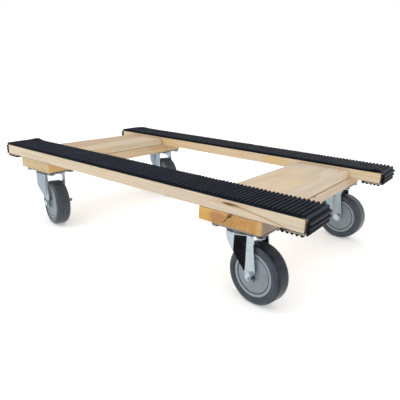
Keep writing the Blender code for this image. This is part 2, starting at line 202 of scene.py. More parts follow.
def wood(name, axis, pith, ring, tones, end_tones, seed, marks, roughness=0.55):
    """Solid wood: growth rings about a pith line along one axis, fibres, pores and end grain.

    tones are the pale, the middle and the late-wood colour; end_tones the same for the end grain.
    marks is called with the shade, the colour, the sway and the fibre noise, and returns a colour.
    """
    shade = Shade(name)

    def grain(across, along):
        """Noise scales across and along the wood's fibres."""
        return [across if i != axis else along for i in range(3)]

    drift = shade.noise(grain(9.0, 1.6), (seed, 2 * seed, 0), 3.0, 0.5)
    sway = shade.noise(grain(18.0, 3.2), (seed + 5, 0, seed), 2.0, 0.5)
    place = shade.split(shade.here)
    across = [c for i, c in enumerate(place) if i != axis]
    distance = shade.length(shade.minus(across[0], pith[0]), shade.minus(across[1], pith[1]))
    lean = shade.times(place[axis], 0.035)
    swayed = shade.line(sway, 0.020, shade.math("ADD", distance, lean))
    growth = shade.math("FRACT", shade.math("DIVIDE", swayed, ring))
    late = shade.times(shade.ramp(growth, 0.45, 0.93), shade.ramp(growth, 0.93, 1.0, 1.0, 0.0))
    fibre = shade.noise(grain(620.0, 16.0), (0, seed, 0), 3.0, 0.6)
    flame = shade.noise(grain(150.0, 7.0), (seed, 0, 3), 4.0, 0.6)
    side = shade.mix(shade.ramp(drift, 0.34, 0.66), tones[0], tones[1])
    side = shade.paint(side, tones[2], late, 0.34)
    side = shade.mix(shade.ramp(flame, 0.50, 0.74, 0.0, 0.42), side, tones[2])
    side = shade.mix(shade.ramp(fibre, 0.35, 0.75, 0.0, 0.30), side, tones[0])
    tint = shade.noise(grain(24.0, 5.5), (seed + 9, seed, 2), 3.0, 0.55)
    side = shade.mix(shade.ramp(tint, 0.50, 0.66, 0.0, 0.9), side, WARM_TINT, "MULTIPLY")
    side = shade.mix(shade.ramp(tint, 0.48, 0.34, 0.0, 0.8), side, COOL_TINT, "MULTIPLY")
    pores = shade.noise(grain(1500.0, 70.0), detail=1.0)
    side = shade.mix(shade.ramp(pores, 0.66, 0.76, 0.0, 0.38), side, tones[2])
    saw = shade.noise((260.0, 260.0, 260.0), (seed, 1, 1), 5.0, 0.7)
    end = shade.mix(shade.ramp(saw, 0.30, 0.72), end_tones[0], end_tones[1])
    blotch = shade.noise((95.0, 95.0, 95.0), (seed, 4, seed), 3.0, 0.6)
    end = shade.paint(end, end_tones[2], late, shade.ramp(blotch, 0.35, 0.65, 0.04, 0.36))
    end = shade.mix(shade.ramp(blotch, 0.50, 0.72, 0.0, 0.55), end, end_tones[2])
    end = shade.mix(shade.ramp(blotch, 0.46, 0.30, 0.0, 0.45), end, end_tones[0])
    end_face = shade.size(shade.vector("DOT_PRODUCT", shade.facing, grain(0.0, 1.0), "Value"))
    colour = marks(shade, shade.mix(shade.ramp(end_face, 0.45, 0.75), side, end), sway, fibre)
    height = shade.math("ADD", shade.times(fibre, 0.55), shade.line(late, -0.35, shade.times(saw, 0.25)))
    rough = shade.ramp(fibre, 0.2, 0.8, roughness - 0.08, roughness + 0.12)
    shade.set("Specular IOR Level", 0.32)
    return shade.finish(colour, rough, height, 0.00035, 0.75)


# Marks on the wood, as (centre, reach, softness, strength, tone).
RAIL_SIDE = -0.2290      # y of the near rail's outer side
RAIL_INSIDE = 0.1496     # y of the far rail's inner side
BOARD_TOP = 0.1645
STREAK = (
    ((0.2605, RAIL_SIDE, 0.1637), (0.0320, 0.006, 0.0042), 0.60, 0.50, (0.42, 0.26, 0.13)),
    ((0.2600, RAIL_SIDE, 0.1636), (0.0140, 0.006, 0.0021), 0.35, 0.97, (0.085, 0.038, 0.015)))
LOWER_EDGE_AND_KNOT = (
    ((0.1560, RAIL_SIDE, 0.1483), (0.0360, 0.006, 0.0012), 0.50, 0.50, (0.40, 0.26, 0.14)),
    ((0.1312, RAIL_SIDE, 0.1484), (0.0080, 0.006, 0.0013), 0.35, 0.88, (0.135, 0.075, 0.038)),
    ((-0.0450, -0.1500, 0.1580), (0.0110, 0.006, 0.0055), 0.50, 0.55, (0.42, 0.25, 0.11)))
ORANGE_PATCH = (
    ((-0.262, -0.128, BOARD_TOP), (0.020, 0.030, 0.006), 0.6, 0.55, (0.58, 0.33, 0.13)),)
PEACH_PATCHES = (
    ((0.262, -0.080, BOARD_TOP), (0.030, 0.075, 0.010), 0.6, 0.40, (0.680, 0.490, 0.310)),
    ((0.238, 0.050, BOARD_TOP), (0.016, 0.040, 0.010), 0.6, 0.40, (0.680, 0.490, 0.310)))
GOLD_PATCHES = (
    ((0.138, RAIL_INSIDE, 0.1590), (0.034, 0.008, 0.0100), 0.55, 0.62, (0.640, 0.420, 0.150)),
    ((-0.186, RAIL_INSIDE, 0.1580), (0.022, 0.008, 0.0080), 0.55, 0.45, (0.620, 0.440, 0.190)))
BROWN_PATCH = (
    ((0.2385, -0.2286, 0.1375), (0.0135, 0.006, 0.0070), 0.5, 0.80, (0.375, 0.180, 0.070)),)
BOLSTER_KNOT = (
    ((0.3172, -0.0345, 0.1458), (0.0040, 0.0075, 0.0032), 0.5, 0.75, (0.26, 0.135, 0.060)),)
BOLSTER_STREAK = (
    ((-0.2189, 0.128, 0.1405), (0.006, 0.036, 0.0045), 0.6, 0.60, (0.42, 0.25, 0.11)),)

GRIME_AND_SHADE = (0.150, 0.095, 0.050)
GRAIN_LINE = (0.270, 0.155, 0.075)
UNDER_LINE = (0.58, 0.40, 0.20)
HEARTWOOD = ((0.395, 0.265, 0.155), (0.490, 0.345, 0.220))
HEARTWOOD_EDGE = (0.27, 0.165, 0.090)
BLUSH = (0.56, 0.385, 0.290)
END_GOLD = (0.600, 0.340, 0.080)
END_TOP_GOLD = (0.600, 0.400, 0.130)
CRACK = (0.075, 0.033, 0.014)
ARRIS = (0.640, 0.450, 0.200)
TWIG = (0.22, 0.11, 0.045)
SHADED_SIDE = (0.27, 0.185, 0.135)
REAR_SIDE = (0.62, 0.39, 0.145)
REAR_SEAM = (0.46, 0.31, 0.17)


def joint_grime_and_shade(shade, colour, sway, strength):
    """Dirt and painted shadow in the joint where the cross boards lie on the bolsters."""
    x, y, z = shade.split(shade.here)
    gap = shade.apart(z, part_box("front_bolster")[1].z)
    depth = shade.times(shade.ramp(gap, 0.0004, 0.0017, 0.80, 0.0), shade.ramp(sway, 0.30, 0.55, 0.5, 1.0))
    depth = shade.times(depth, shade.ramp(shade.size(y), 0.2240, 0.2262, 1.0, 0.12))
    # Painted shadow, with some dirt, darkens the joint.
    return shade.paint(colour, GRIME_AND_SHADE, depth, strength)


def rail_marks(shade, colour, sway, fibre):
    """The near rail's bark streak, the curved grain line that runs on from it, a nick and a brown line on
    the lower edge, and a knot on the inner side."""
    wobble = shade.line(fibre, 0.7, -0.35)
    colour = shade.paint_spots(colour, wobble, STREAK)
    x, y, z = shade.split(shade.here)
    run = shade.minus(x, 0.262)
    line = shade.line(shade.times(run, run), -0.62, shade.line(run, -0.098, 0.1636))
    line = shade.line(sway, 0.0012, shade.minus(line, 0.0006))
    stroke = shade.ramp(shade.apart(z, line), 0.0003, 0.0017, 1.0, 0.0)
    stroke = shade.times(shade.times(stroke, shade.ramp(x, 0.255, 0.275)), shade.ramp(y, -0.2270, -0.2280))
    colour = shade.paint(colour, GRAIN_LINE, stroke, 0.80)
    below = shade.minus(line, z)
    under = shade.times(shade.ramp(below, 0.0, 0.009, 1.0, 0.0), shade.ramp(below, -0.0004, 0.0004))
    under = shade.times(under, shade.ramp(x, 0.255, 0.29))
    colour = shade.paint(colour, UNDER_LINE, under, 0.25)
    return shade.paint_spots(colour, wobble, LOWER_EDGE_AND_KNOT)


def board_marks(shade, colour, sway, fibre):
    """The reddish heartwood band along the rear board's outer edge, with a soft curved border."""
    x, y, z = shade.split(shade.here)
    border = shade.line(shade.times(y, y), -0.16, shade.line(y, -0.085, -0.2735))
    border = shade.line(sway, 0.006, shade.minus(border, 0.003))
    inside = shade.ramp(shade.minus(border, x), -0.0015, 0.0035)
    colour = shade.paint(colour, shade.mix(fibre, *HEARTWOOD), inside, 0.90)
    edge = shade.ramp(shade.apart(border, x), 0.0, 0.003, 1.0, 0.0)
    colour = shade.paint(colour, HEARTWOOD_EDGE, edge, 0.45)
    blush = shade.noise((60.0, 4.0, 60.0), (3, 1, 8), 2.0)
    colour = shade.mix(shade.ramp(blush, 0.56, 0.72, 0.0, 0.35), colour, BLUSH)
    colour = shade.paint_spots(colour, shade.minus(sway, 0.5), ORANGE_PATCH)
    return joint_grime_and_shade(shade, colour, sway, 0.35)


def front_board_marks(shade, colour, sway, fibre):
    """Two soft peach patches on the front board."""
    colour = shade.paint_spots(colour, shade.minus(sway, 0.5), PEACH_PATCHES)
    return joint_grime_and_shade(shade, colour, sway, 1.0)


def far_rail_marks(shade, colour, sway, fibre):
    """Golden patches on the far rail's inner side, short of the two boards."""
    return shade.paint_spots(colour, shade.line(fibre, 0.5, -0.25), GOLD_PATCHES)


def front_bolster_marks(shade, colour, sway, fibre):
    """The front bolster's near end: a golden left part, a brown patch, a slanting crack with a branch and
    a pale edge.  Its front side has painted shade towards the near end, and a knot."""
    x, y, z = shade.split(shade.here)
    near = shade.ramp(y, -0.2262, -0.2276)
    wobble = shade.minus(sway, 0.5)
    colour = shade.paint(colour, END_GOLD, shade.times(shade.ramp(x, 0.232, 0.216), near), 0.75)
    top = shade.times(shade.ramp(z, 0.1410, 0.1455), near)
    colour = shade.paint(colour, END_TOP_GOLD, shade.times(top, shade.ramp(x, 0.262, 0.245)), 0.5)
    colour = shade.paint_spots(colour, wobble, BROWN_PATCH)
    slant = shade.line(shade.minus(z, 0.1390), 0.90, 0.2545)
    jag = shade.noise((110.0, 10.0, 110.0), (2, 0, 7), 2.0, 0.6)
    slant = shade.line(jag, 0.012, shade.minus(slant, 0.006))
    gap = shade.line(fibre, 0.0022, shade.minus(shade.apart(x, slant), 0.0011))
    wide = shade.ramp(z, 0.1330, 0.1440, 0.0006, 0.0022)
    crack = shade.times(shade.ramp(shade.minus(gap, wide), -0.0004, 0.0014, 1.0, 0.0), near)
    colour = shade.paint(colour, CRACK, shade.times(crack, shade.ramp(z, 0.1275, 0.1320)), 0.97)
    colour = shade.paint(colour, ARRIS, shade.times(shade.ramp(x, 0.3050, 0.3110), near), 0.40)
    branch = shade.line(shade.minus(x, 0.255), 0.20, 0.1445)
    twig = shade.times(shade.ramp(shade.apart(z, branch), 0.0002, 0.0014, 1.0, 0.0), near)
    twig = shade.times(twig, shade.times(shade.ramp(x, 0.252, 0.257), shade.ramp(x, 0.270, 0.262)))
    colour = shade.paint(colour, TWIG, twig, 0.7)
    # Painted shade on the front side towards the near end.
    side = shade.times(shade.ramp(x, 0.3158, 0.3170), shade.ramp(y, -0.155, -0.215))
    colour = shade.paint(colour, SHADED_SIDE, side, 0.85)
    colour = shade.paint_spots(colour, wobble, BOLSTER_KNOT)
    return joint_grime_and_shade(shade, colour, sway, 1.0)


def rear_bolster_marks(shade, colour, sway, fibre):
    """The rear bolster's inner side: orange-brown towards the near end, a streak towards the far end."""
    x, y, z = shade.split(shade.here)
    side = shade.times(shade.ramp(x, -0.2205, -0.2192), shade.ramp(y, -0.10, -0.20))
    colour = shade.paint(colour, REAR_SIDE, side, 0.7)
    seam = shade.line(sway, 0.010, 0.1360)
    colour = shade.mix(shade.ramp(shade.apart(z, seam), 0.0, 0.0016, 0.4, 0.0), colour, REAR_SEAM)
    colour = shade.paint_spots(colour, shade.minus(sway, 0.5), BOLSTER_STREAK)
    return joint_grime_and_shade(shade, colour, sway, 0.35)


def mat_rubber():
    """Black ribbed matting: fine grain, rib tops lighter with scuffs and painted sheen, painted shade in
    the grooves, a painted sheen where it is turned down over the front ends, and paler along its cut edges
    at all ends."""
    shade = Shade("black_mat_rubber")
    grain = shade.noise((900, 900, 900), detail=3.0, rough=0.6)
    cloud = shade.noise((22, 14, 22), detail=4.0, rough=0.6)
    scuff_and_sheen = shade.noise((55, 320, 55), (2, 4, 0), 3.0, 0.6)
    height = shade.node("ShaderNodeAttribute", {"attribute_name": "rib_height"}, {}, "Fac")
    x, y, z = shade.split(shade.here)
    colour = shade.mix(shade.ramp(cloud, 0.30, 0.72), (0.0058, 0.0082, 0.0145), (0.0105, 0.0140, 0.0225))
    # Painted shade: darker down in the grooves between the ribs.
    colour = shade.mix(shade.ramp(height, 0.10, 0.70, 0.85, 0.0), colour, (0.0015, 0.0018, 0.0028))
    # Rib tops lighter: scuffs, and a painted sheen.
    tops = shade.ramp(height, 0.80, 1.0)
    colour = shade.paint(colour, (0.040, 0.049, 0.068), tops, shade.ramp(scuff_and_sheen, 0.42, 0.72, 0.08, 0.55))
    # Painted sheen on the upper ribs where the matting turns down over the front end.
    turned_down_sheen = shade.times(shade.ramp(x, 0.374, 0.382), shade.ramp(height, 0.35, 0.85))
    turned_down_sheen = shade.times(turned_down_sheen, shade.ramp(z, 0.1540, 0.1680, 0.30, 1.0))
    colour = shade.paint(colour, (0.034, 0.044, 0.056), turned_down_sheen, 0.75)
    rail_low, rail_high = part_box("near_rail")
    beyond = shade.larger(shade.minus(shade.size(x), rail_high.x + 0.002),
                          shade.larger(shade.minus(z, rail_high.z), shade.minus(rail_low.z, z)))
    cut = shade.times(shade.ramp(shade.size(shade.split(shade.facing)[1]), 0.6, 0.9),
                      shade.ramp(beyond, PAD_BASE, 0.6 * PAD_BASE))
    below = shade.ramp(z, 0.1490, 0.1480)
    worn = shade.larger(shade.ramp(x, 0.374, 0.381), shade.times(shade.ramp(x, 0.345, 0.360), below))
    under = shade.times(below, shade.larger(shade.ramp(x, -0.330, -0.342), shade.ramp(x, 0.348, 0.362)))
    faded = shade.times(cut, shade.larger(shade.ramp(x, -0.3770, -0.3830), under))
    colour = shade.paint(colour, (0.150, 0.138, 0.120), cut, shade.line(worn, 0.72, 0.06))
    colour = shade.paint(colour, (0.420, 0.380, 0.315), faded, 0.85)
    shade.set("Specular IOR Level", 0.03)
    return shade.finish(colour, shade.ramp(cloud, 0.25, 0.75, 0.38, 0.52), grain, 0.00015, 0.5)


BLUE_TINT = (0.93, 0.985, 1.04)
STRAW_TINT = (1.0, 0.96, 0.88)
ROLLED_TINT = (0.74, 0.77, 0.79)


def zinc(name, tone, roughness, streak):
    """Zinc plate over pressed steel: rolling streaks, faint blue and straw tints."""
    def tinted(tint):
        return tuple(t * k for t, k in zip(tone, tint))

    shade = Shade(name, roughness, 1.0)
    cloud = shade.noise((38, 38, 26), detail=3.0, rough=0.55)
    hue = shade.noise((70, 55, 40), (4, 2, 1), 2.0, 0.5)
    rolled = shade.noise(streak, detail=3.0, rough=0.6)
    colour = shade.mix(shade.ramp(hue, 0.35, 0.68), tone, tinted(BLUE_TINT))
    colour = shade.mix(shade.ramp(cloud, 0.55, 0.80, 0.0, 0.55), colour, tinted(STRAW_TINT))
    colour = shade.mix(shade.ramp(rolled, 0.50, 0.72, 0.0, 0.65), colour, tinted(ROLLED_TINT))
    rough = shade.math("ADD", shade.ramp(cloud, 0.2, 0.8, roughness - 0.06, roughness + 0.08),
                       shade.ramp(rolled, 0.3, 0.7, -0.03, 0.04))
    return shade.finish(colour, rough, rolled, 0.00006, 0.35)


def hub_plastic():
    """Mid-grey moulded hub: fine grain, painted shade in its groove and a slightly paler rim outside it."""
    shade = Shade("grey_hub_plastic", 0.42)
    x, y, z = shade.split(shade.here)
    radius = shade.length(x, y)
    grain = shade.noise((1200, 1200, 1200), detail=2.0)
    cloud = shade.noise((60, 60, 60), detail=3.0)
    flow = shade.noise_at(shade.join(shade.times(radius, 420.0), z, 0.0), 2.0)
    colour = shade.mix(shade.ramp(cloud, 0.3, 0.7), (0.188, 0.226, 0.256), (0.220, 0.258, 0.288))
    colour = shade.mix(shade.ramp(radius, 0.0318, 0.0326), colour, (0.245, 0.280, 0.300))
    # Painted shade in the groove near the rim.
    groove = shade.times(shade.ramp(radius, 0.0303, 0.0308), shade.ramp(radius, 0.0323, 0.0318))
    colour = shade.paint(colour, (0.050, 0.062, 0.074), groove, 0.85)
    return shade.finish(colour, shade.ramp(flow, 0.3, 0.7, 0.34, 0.46), grain, 0.00006, 0.35)


def tread_rubber(name, face, share, specular):
    """Dark grey wheel tread: satin skin, faint mould rings and a running face of its own tone."""
    shade = Shade(name, 0.34)
    x, y, z = shade.split(shade.here)
    radius = shade.length(x, y)
    grain = shade.noise((700, 700, 700), detail=3.0)
    cloud = shade.noise((45, 45, 45), detail=4.0, rough=0.6)
    rings = shade.noise_at(shade.join(shade.times(radius, 900.0), shade.times(z, 900.0), 0.0), 1.0)
    colour = shade.mix(shade.ramp(cloud, 0.28, 0.72), (0.041, 0.050, 0.062), (0.056, 0.066, 0.080))
    running = shade.ramp(radius, 0.0480, 0.0502)
    colour = shade.paint(colour, face, running, share)
    colour = shade.paint(colour, (0.062, 0.072, 0.088), running, shade.ramp(cloud, 0.48, 0.72, 0.0, 0.50))
    shade.set("Specular IOR Level", specular)
    shade.set("Specular Tint", (0.84, 0.92, 1.0, 1.0))
    rough = shade.ramp(cloud, 0.2, 0.8, 0.25, 0.36)
    rough = shade.math("ADD", rough, shade.ramp(rings, 0.3, 0.7, -0.02, 0.03))
    return shade.finish(colour, rough, grain, 0.00008, 0.35)


# Woods: (pith line), ring width, (pale, middle, late wood), (the same for the end grain), seed.
RAIL_END_TONES = ((0.56, 0.46, 0.33), (0.48, 0.37, 0.25), (0.36, 0.25, 0.15))
BOARD_END_TONES = ((0.52, 0.41, 0.28), (0.45, 0.34, 0.22), (0.33, 0.23, 0.14))
RAIL = wood("near_rail_wood", 0, (-0.245, 0.085), 0.0066,
            ((0.640, 0.550, 0.425), (0.570, 0.475, 0.350), (0.450, 0.330, 0.215)),
            RAIL_END_TONES, 3.0, rail_marks)
FAR_RAIL = wood("far_rail_wood", 0, (0.230, 0.070), 0.0072,
                ((0.650, 0.535, 0.385), (0.590, 0.465, 0.305), (0.470, 0.330, 0.185)),
                RAIL_END_TONES, 11.0, far_rail_marks)
FRONT_BOARD = wood("front_board_wood", 1, (0.240, 0.060), 0.0105,
                   ((0.585, 0.485, 0.365), (0.525, 0.420, 0.300), (0.400, 0.290, 0.185)),
                   BOARD_END_TONES, 6.5, front_board_marks)
REAR_BOARD = wood("rear_board_wood", 1, (-0.330, 0.050), 0.0120,
                  ((0.590, 0.490, 0.350), (0.530, 0.425, 0.285), (0.410, 0.300, 0.180)),
                  BOARD_END_TONES, 17.0, board_marks)
FRONT_BOLSTER = wood("front_bolster_wood", 1, (0.262, 0.112), 0.0046,
                     ((0.540, 0.425, 0.310), (0.480, 0.365, 0.255), (0.365, 0.255, 0.165)),
                     ((0.500, 0.280, 0.092), (0.390, 0.195, 0.056), (0.215, 0.102, 0.032)), 8.0,
                     front_bolster_marks, 0.6)
REAR_BOLSTER = wood("rear_bolster_wood", 1, (-0.285, 0.105), 0.0050,
                    ((0.590, 0.460, 0.305), (0.530, 0.395, 0.240), (0.400, 0.270, 0.145)),
                    ((0.540, 0.430, 0.255), (0.470, 0.350, 0.190), (0.350, 0.235, 0.115)), 14.0,
                    rear_bolster_marks, 0.6)
MAT = mat_rubber()
ZINC = zinc("zinc_plate_steel", (0.440, 0.490, 0.520), 0.13, (60, 60, 420))
# Rougher zinc for the other three forks; its darker tone is painted shade.
WORN_SHADED_ZINC = zinc("zinc_plate_worn_and_shaded", (0.300, 0.350, 0.382), 0.18, (420, 420, 40))
# Rougher zinc for the plates and races; its darker tone is painted shade under the bolsters.
PLATE = zinc("zinc_plate_dulled_and_shaded", (0.200, 0.208, 0.208), 0.26, (60, 60, 420))
# Rougher zinc for the lag screws; its darker tone is painted shade.
LAG = zinc("zinc_screws_dulled_and_shaded", (0.330, 0.325, 0.305), 0.30, (900, 900, 200))
BOLT = zinc("zinc_fasteners", (0.530, 0.585, 0.620), 0.24, (900, 900, 200))
HUB = hub_plastic()
# The front near tyre's running face is made almost black: painted shade.
DARK_TREAD = tread_rubber("dark_tread_rubber", (0.0085, 0.0125, 0.0190), 0.90, 0.24)
TREAD = tread_rubber("dusty_tread_rubber", (0.034, 0.040, 0.050), 0.45, 0.36)


# --- mesh helpers ----------------------------------------------------------
def shown(name, data):
    """A new object in the scene."""
    obj = bpy.data.objects.new(name, data)
    bpy.context.scene.collection.objects.link(obj)
    return obj


def new_mesh(name, points, faces, material, smooth_angle):
    """A smooth-shaded mesh with sharp edges where its faces turn by more than the angle, in degrees."""
    mesh = bpy.data.meshes.new(name)
    mesh.from_pydata([tuple(p) for p in points], [], faces)
    mesh.materials.append(material)
    mesh.shade_smooth()
    mesh.set_sharp_from_angle(angle=radians(smooth_angle))
    return mesh


def piece(name, mesh, place, body, nodes):
    """Show a mesh in place of CAD nodes, riding on their body."""
    obj = shown(name, mesh)
    obj.matrix_world = place
    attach(obj, body)
    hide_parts(*nodes)
    return obj


def rows_to_faces(rows, around, closed):
    """Quads over a grid of rows, each row a ring if around, and the rows a loop if closed."""
    width = len(rows[0])
    points = [p for row in rows for p in row]
    faces = []
    for i in range(len(rows) if closed else len(rows) - 1):
        below, above = i * width, (i + 1) % len(rows) * width
        for j in range(width if around else width - 1):
            k = (j + 1) % width
            faces.append((below + j, above + j, above + k, below + k))
    return points, faces


def capped(rows):
    """Points and faces of a tube of rings, closed at both ends by a flat cap."""
    points, faces = rows_to_faces(rows, True, False)
    width = len(rows[0])
    return points, faces + [tuple(range(width)), tuple(range(len(points) - 1, len(points) - width - 1, -1))]


def circle(radius, height, steps):
    """A ring of points about Z."""
    turns = [2 * pi * i / steps for i in range(steps)]
    return [(radius * cos(turn), radius * sin(turn), height) for turn in turns]


def turned(name, profile, steps, material, smooth_angle):
    """Turn (radius, height) points about Z; the profile is a closed loop unless it meets the axis."""
    open_ended = profile[0][0] == 0 and profile[-1][0] == 0
    rows = [circle(r, h, steps) for r, h in (profile[1:-1] if open_ended else profile)]
    points, faces = rows_to_faces(rows, True, not open_ended)
    if open_ended:
        top, low = len(points), len(points) + 1
        points += [(0, 0, profile[0][1]), (0, 0, profile[-1][1])]
        last = (len(rows) - 1) * steps
        faces += [(top, i, (i + 1) % steps) for i in range(steps)]
        faces += [(low, last + (i + 1) % steps, last + i) for i in range(steps)]
    return new_mesh(name, points, faces, material, smooth_angle)


def arc(centre, radius, start, stop, steps):
    """(radius, height) points round a corner, in degrees."""
    return [(centre[0] + radius * cos(radians(start + (stop - start) * i / steps)),
             centre[1] + radius * sin(radians(start + (stop - start) * i / steps)))
            for i in range(steps + 1)]


def modified(name, mesh, *modifiers):
    """A mesh with modifiers applied, each given as (kind, settings)."""
    obj = shown(name, mesh)
    for kind, settings in modifiers:
        modifier = obj.modifiers.new(kind.lower(), kind)
        for key, value in settings.items():
            setattr(modifier, key, value)
    bpy.context.view_layer.update()
    graph = bpy.context.evaluated_depsgraph_get()
    made = bpy.data.meshes.new_from_object(obj.evaluated_get(graph), depsgraph=graph)
    bpy.data.objects.remove(obj, do_unlink=True)
    made.name = name
    return made


# --- wood ------------------------------------------------------------------
ARRIS_RADIUS = 0.0010
ARRIS_STEPS = 4
PLANK_STEP_ALONG = 0.006
PLANK_STEP_ACROSS = 0.007
FACE_UNEVEN = 0.00012
END_CHAMFER = ((0.0, 0.0008), (0.0003, 0.0003), (0.0009, 0.0))      # (from the end, inset)
SIGNS = ((1, 1), (-1, 1), (-1, -1), (1, -1))


def plank(node, axis, material, seed, wane=0.0004):
    """A sawn board inside its CAD box: eased, slightly uneven arrises and a gently uneven face.

    wane is how far the arrises may sink in where the noise is high.
    """
    low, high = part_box(node)
    centre, half = (low + high) / 2, (high - low) / 2
    a, b = [i for i in range(3) if i != axis]
    inner_a, inner_b = half[a] - ARRIS_RADIUS, half[b] - ARRIS_RADIUS
    ring = []       # (place across, its normal, whether on an arris)
    for quarter, (sa, sb) in enumerate(SIGNS):
        for i in range(ARRIS_STEPS + 1):
            turn = (quarter + i / ARRIS_STEPS) * pi / 2
            ring.append((sa * inner_a + ARRIS_RADIUS * cos(turn), sb * inner_b + ARRIS_RADIUS * sin(turn),
                         cos(turn), sin(turn), True))
        start_u, start_v, normal_u, normal_v = ring[-1][:4]
        next_sa, next_sb = SIGNS[(quarter + 1) % 4]
        stop_u = next_sa * inner_a + ARRIS_RADIUS * normal_u if abs(normal_u) < 0.5 else start_u
        stop_v = next_sb * inner_b + ARRIS_RADIUS * normal_v if abs(normal_v) < 0.5 else start_v
        count = max(2, round(Vector((stop_u - start_u, stop_v - start_v)).length / PLANK_STEP_ACROSS))
        ring += [(start_u + (stop_u - start_u) * i / count, start_v + (stop_v - start_v) * i / count,
                  normal_u, normal_v, False) for i in range(1, count)]
    length = half[axis]
    stations = [(-length + away, inset) for away, inset in END_CHAMFER]
    count = round(2 * length / PLANK_STEP_ALONG)
    stations += [(-length + 2 * length * i / count, 0.0) for i in range(1, count)]
    stations += [(-s, inset) for s, inset in stations[:3][::-1]]
    rows = []
    for s, inset in stations:
        row = []
        for u, v, nu, nv, on_arris in ring:
            point = Vector()
            point[axis] = centre[axis] + s
            point[a] = centre[a] + u - inset * (1 if u > 0 else -1) * abs(nu) ** 0.5
            point[b] = centre[b] + v - inset * (1 if v > 0 else -1) * abs(nv) ** 0.5
            probe = point * 34.0
            probe[axis] = point[axis] * 11.0 + seed
            sunk = FACE_UNEVEN * (1 + noise.noise(probe))
            if on_arris:
                probe[axis] = point[axis] * 26.0 + seed
                sunk += wane * max(0.0, noise.noise(probe * 0.9) + 0.15)
            point[a] -= nu * sunk
            point[b] -= nv * sunk
            row.append(point)
        rows.append(row)
    mesh = new_mesh(node + "_board", *capped(rows), material, 38)
    return piece(node + "_board", mesh, Matrix.Identity(4), "frame", [node])


plank("near_rail", 0, RAIL, 2.0)
plank("far_rail", 0, FAR_RAIL, 9.0)
plank("front_deck_board", 1, FRONT_BOARD, 4.0)
plank("rear_deck_board", 1, REAR_BOARD, 5.0)
plank("front_bolster", 1, FRONT_BOLSTER, 6.0, 0.0003)
plank("rear_bolster", 1, REAR_BOLSTER, 7.0, 0.0003)


# --- rubber pads -----------------------------------------------------------
PAD_END_GAP = 0.0022
PAD_CORNER = 0.0055
PAD_STEP = 0.0005
PAD_CORNER_STEPS = 18
ACROSS = [0.0, 0.006, 0.03] + [i / 12 for i in range(1, 12)] + [0.97, 0.994, 1.0]
RIB_PHASES = (0.0, 0.08, 0.15, 0.21, 0.27, 0.34, 0.42, 0.5, 0.58, 0.66, 0.73, 0.79, 0.85, 0.92)


def pad_line(rail_low, rail_high):
    """Points, normals and distances along a pad's inner face, from under one end to under the other."""
    end = rail_high.x + PAD_END_GAP
    low, high = rail_low.z - CLEARANCE, rail_high.z + CLEARANCE
    corner = PAD_CORNER
    line = []

    def straight(start, stop, normal):
        start, stop = Vector(start), Vector(stop)
        count = max(2, round((stop - start).length / PAD_STEP))
        line.extend((start.lerp(stop, i / count), Vector(normal)) for i in range(count))

    def bend(centre, start, stop):
        for i in range(PAD_CORNER_STEPS):
            turn = start + (stop - start) * i / PAD_CORNER_STEPS
            normal = Vector((cos(turn), sin(turn)))
            line.append((Vector(centre) + corner * normal, normal))

    straight((end - PAD_UNDER, low), (end - corner, low), (0, -1))
    bend((end - corner, low + corner), -pi / 2, 0)
    straight((end, low + corner), (end, high - corner), (1, 0))
    bend((end - corner, high - corner), 0, pi / 2)
    straight((end - corner, high), (-end + corner, high), (0, 1))
    bend((-end + corner, high - corner), pi / 2, pi)
    straight((-end, high - corner), (-end, low + corner), (-1, 0))
    bend((-end + corner, low + corner), pi, 3 * pi / 2)
    straight((-end + corner, low), (-end + PAD_UNDER, low), (0, -1))
    walked, distances = 0.0, [0.0]
    for (p, m), (q, n) in zip(line, line[1:]):
        grown = (q + PAD_BASE * n) - (p + PAD_BASE * m)
        walked += grown.length
        distances.append(walked)
    return line, distances


def swell(value, centre, width):
    """A smooth bump of height 1 about its centre."""
    return exp(-((value - centre) / width) ** 2)


